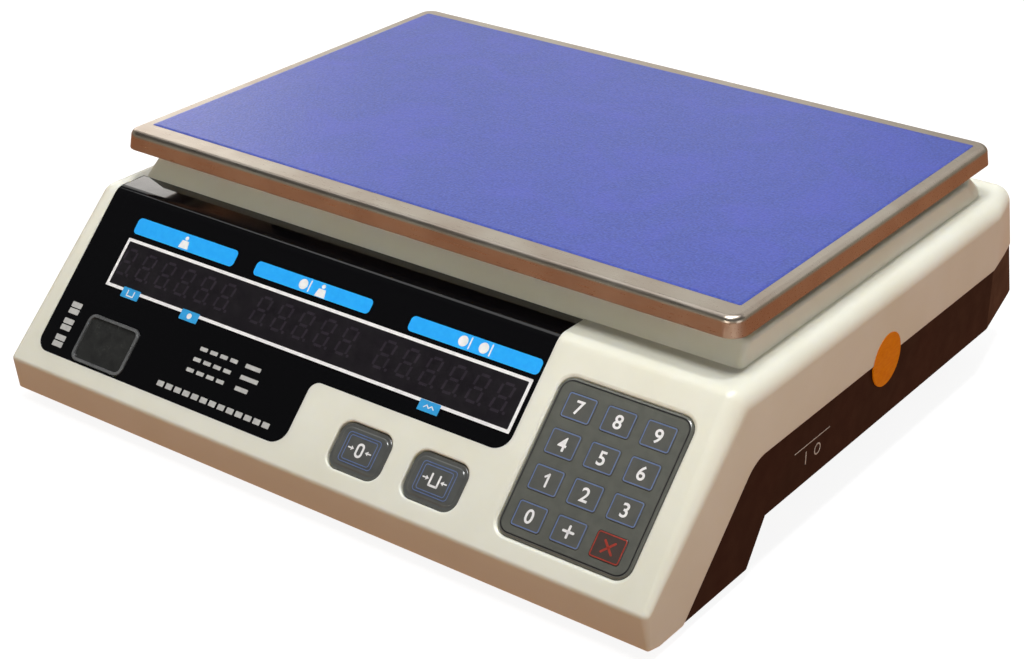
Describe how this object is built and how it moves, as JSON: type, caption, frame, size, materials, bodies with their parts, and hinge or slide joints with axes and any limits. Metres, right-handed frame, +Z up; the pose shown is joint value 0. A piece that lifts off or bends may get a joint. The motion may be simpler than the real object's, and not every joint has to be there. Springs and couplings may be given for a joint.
{
  "type": "price computing scale",
  "caption": "Counter scale with a flat steel pan on a sloped plastic casing, a black display strip, a keypad and two square buttons.",
  "frame": {"origin": "on the table plane under the middle of the casing's box", "axes": "+X to the user's right, +Y to the back, +Z up; the controls face -Y"},
  "size_m": [0.3632, 0.3543, 0.1186],
  "materials": {
    "ivory_plastic": "satin moulded ABS with a soft sheen",
    "dark_plastic": "very dark brown moulded plastic with a fine grain",
    "zinc_steel": "zinc-plated pressed steel sheet",
    "machined_aluminium": "machined, satin",
    "cast_aluminium": "die cast, bead blasted",
    "fastener_steel": "zinc-plated, bright",
    "stop_brass": "turned brass",
    "pan_steel": "stainless sheet, brushed, rounded pressed edge",
    "blue_film": "protective film with a fine mottled grain",
    "rubber": "matt black rubber",
    "overlay_film": "glossy black printed film",
    "clear_plastic": "clear grey plastic with a polished rim",
    "circuit_board": "green solder resist",
    "digit_block": "black LED digit block with unlit segments",
    "lamp": "clear red lens",
    "keypad_grey": "grey printed polyester, glossy",
    "key_grey": "grey printed key with a thin light outline",
    "key_red": "dark key with a thin red outline",
    "button_grey": "glossy domed grey button",
    "smoked_window": "smoked acrylic",
    "ribbon_grey": "flat grey cable",
    "transformer_core": "varnished laminated core with a taped coil",
    "battery_case": "sealed lead-acid battery case",
    "black_plastic": "black nylon",
    "rocker_red": "red rocker",
    "sticker_orange": "orange paper seal, slightly glossy"
  },
  "bodies": {
    "casing": {"top_cover": "ivory_plastic", "base_tray": "dark_plastic", "chassis_plate": "zinc_steel", "load_cell": "machined_aluminium", "cell_base_block": "machined_aluminium", "cell_base_screws": "fastener_steel", "overload_stops": "stop_brass", "chassis_screws": "fastener_steel", "case_screws": "fastener_steel", "foot_nuts": "fastener_steel", "display_overlay": "overlay_film", "display_board": "circuit_board", "weight_digits": "digit_block", "price_digits": "digit_block", "total_digits": "digit_block", "status_lamps": "lamp", "clear_window": "clear_plastic", "keypad_panel": "keypad_grey", "keypad_board": "circuit_board", "button_board": "circuit_board", "rear_window": "smoked_window", "rear_display_board": "circuit_board", "rear_digits": "digit_block", "main_board": "circuit_board", "display_ribbon": "ribbon_grey", "transformer": "transformer_core", "battery": "battery_case", "battery_strap": "zinc_steel", "switch_housing": "black_plastic", "cord_gland": "black_plastic", "inspection_sticker": "sticker_orange"},
    "platform": {"spider_frame": "cast_aluminium", "cell_top_block": "machined_aluminium", "cell_live_screws": "fastener_steel", "pan_pads": "rubber"},
    "pan": {"weighing_pan": "pan_steel", "pan_film": "blue_film"},
    "key_0": {"key_0": "key_grey"},
    "key_1": {"key_1": "key_grey"},
    "key_2": {"key_2": "key_grey"},
    "key_3": {"key_3": "key_grey"},
    "key_4": {"key_4": "key_grey"},
    "key_5": {"key_5": "key_grey"},
    "key_6": {"key_6": "key_grey"},
    "key_7": {"key_7": "key_grey"},
    "key_8": {"key_8": "key_grey"},
    "key_9": {"key_9": "key_grey"},
    "key_add": {"key_add": "key_grey"},
    "key_clear": {"key_clear": "key_red"},
    "zero_button": {"zero_button": "button_grey"},
    "tare_button": {"tare_button": "button_grey"},
    "rocker": {"switch_rocker": "rocker_red"},
    "pad_front_left": {"foot_pad_front_left": "rubber"},
    "stud_front_left": {"foot_stud_front_left": "fastener_steel"},
    "pad_front_right": {"foot_pad_front_right": "rubber"},
    "stud_front_right": {"foot_stud_front_right": "fastener_steel"},
    "pad_back_left": {"foot_pad_back_left": "rubber"},
    "stud_back_left": {"foot_stud_back_left": "fastener_steel"},
    "pad_back_right": {"foot_pad_back_right": "rubber"},
    "stud_back_right": {"foot_stud_back_right": "fastener_steel"}
  },
  "joints": [
    {"name": "load_cell_bend", "type": "slide", "parent": "casing", "child": "platform", "axis": [0, 0, 1], "range_m": [-0.0006, 0], "stiffness_N_per_m": 100000, "springref_m": 0.0002, "deforming": ["load_cell"]},
    {"name": "pan_lift", "type": "slide", "parent": "platform", "child": "pan", "axis": [0, 0, 1], "range_m": [0, 0.04]},
    {"name": "press_0", "type": "slide", "parent": "casing", "child": "key_0", "axis": [0, 0.7145, -0.6997], "range_m": [0, 0.0005], "stiffness_N_per_m": 3000, "springref_m": -0.0002},
    {"name": "press_1", "type": "slide", "parent": "casing", "child": "key_1", "axis": [0, 0.7145, -0.6997], "range_m": [0, 0.0005], "stiffness_N_per_m": 3000, "springref_m": -0.0002},
    {"name": "press_2", "type": "slide", "parent": "casing", "child": "key_2", "axis": [0, 0.7145, -0.6997], "range_m": [0, 0.0005], "stiffness_N_per_m": 3000, "springref_m": -0.0002},
    {"name": "press_3", "type": "slide", "parent": "casing", "child": "key_3", "axis": [0, 0.7145, -0.6997], "range_m": [0, 0.0005], "stiffness_N_per_m": 3000, "springref_m": -0.0002},
    {"name": "press_4", "type": "slide", "parent": "casing", "child": "key_4", "axis": [0, 0.7145, -0.6997], "range_m": [0, 0.0005], "stiffness_N_per_m": 3000, "springref_m": -0.0002},
    {"name": "press_5", "type": "slide", "parent": "casing", "child": "key_5", "axis": [0, 0.7145, -0.6997], "range_m": [0, 0.0005], "stiffness_N_per_m": 3000, "springref_m": -0.0002},
    {"name": "press_6", "type": "slide", "parent": "casing", "child": "key_6", "axis": [0, 0.7145, -0.6997], "range_m": [0, 0.0005], "stiffness_N_per_m": 3000, "springref_m": -0.0002},
    {"name": "press_7", "type": "slide", "parent": "casing", "child": "key_7", "axis": [0, 0.7145, -0.6997], "range_m": [0, 0.0005], "stiffness_N_per_m": 3000, "springref_m": -0.0002},
    {"name": "press_8", "type": "slide", "parent": "casing", "child": "key_8", "axis": [0, 0.7145, -0.6997], "range_m": [0, 0.0005], "stiffness_N_per_m": 3000, "springref_m": -0.0002},
    {"name": "press_9", "type": "slide", "parent": "casing", "child": "key_9", "axis": [0, 0.7145, -0.6997], "range_m": [0, 0.0005], "stiffness_N_per_m": 3000, "springref_m": -0.0002},
    {"name": "press_add", "type": "slide", "parent": "casing", "child": "key_add", "axis": [0, 0.7145, -0.6997], "range_m": [0, 0.0005], "stiffness_N_per_m": 3000, "springref_m": -0.0002},
    {"name": "press_clear", "type": "slide", "parent": "casing", "child": "key_clear", "axis": [0, 0.7145, -0.6997], "range_m": [0, 0.0005], "stiffness_N_per_m": 3000, "springref_m": -0.0002},
    {"name": "press_zero", "type": "slide", "parent": "casing", "child": "zero_button", "axis": [0, 0.7145, -0.6997], "range_m": [0, 0.0008], "stiffness_N_per_m": 2000, "springref_m": -0.0002},
    {"name": "press_tare", "type": "slide", "parent": "casing", "child": "tare_button", "axis": [0, 0.7145, -0.6997], "range_m": [0, 0.0008], "stiffness_N_per_m": 2000, "springref_m": -0.0002},
    {"name": "rocker_tilt", "type": "hinge", "parent": "casing", "child": "rocker", "pos_m": [0.167, -0.0495, 0.0255], "axis": [1, 0, 0], "range_deg": [-20, 0]},
    {"name": "foot_height_front_left", "type": "slide", "parent": "casing", "child": "pad_front_left", "axis": [0, 0, 1], "range_m": [-0.004, 0.0008]},
    {"name": "foot_screw_front_left", "type": "hinge", "parent": "pad_front_left", "child": "stud_front_left", "pos_m": [-0.132, -0.13, 0], "axis": [0, 0, 1], "range_deg": [-1160, 300]},
    {"name": "foot_height_front_right", "type": "slide", "parent": "casing", "child": "pad_front_right", "axis": [0, 0, 1], "range_m": [-0.004, 0.0008]},
    {"name": "foot_screw_front_right", "type": "hinge", "parent": "pad_front_right", "child": "stud_front_right", "pos_m": [0.132, -0.13, 0], "axis": [0, 0, 1], "range_deg": [-1160, 300]},
    {"name": "foot_height_back_left", "type": "slide", "parent": "casing", "child": "pad_back_left", "axis": [0, 0, 1], "range_m": [-0.004, 0.0008]},
    {"name": "foot_screw_back_left", "type": "hinge", "parent": "pad_back_left", "child": "stud_back_left", "pos_m": [-0.132, 0.13, 0], "axis": [0, 0, 1], "range_deg": [-1160, 300]},
    {"name": "foot_height_back_right", "type": "slide", "parent": "casing", "child": "pad_back_right", "axis": [0, 0, 1], "range_m": [-0.004, 0.0008]},
    {"name": "foot_screw_back_right", "type": "hinge", "parent": "pad_back_right", "child": "stud_back_right", "pos_m": [0.132, 0.13, 0], "axis": [0, 0, 1], "range_deg": [-1160, 300]}
  ],
  "couplings": [
    {"joint": "foot_screw_front_left", "follows": "foot_height_front_left", "rad_per_m": 5026.6},
    {"joint": "foot_screw_front_right", "follows": "foot_height_front_right", "rad_per_m": 5026.6},
    {"joint": "foot_screw_back_left", "follows": "foot_height_back_left", "rad_per_m": 5026.6},
    {"joint": "foot_screw_back_right", "follows": "foot_height_back_right", "rad_per_m": 5026.6}
  ]
}
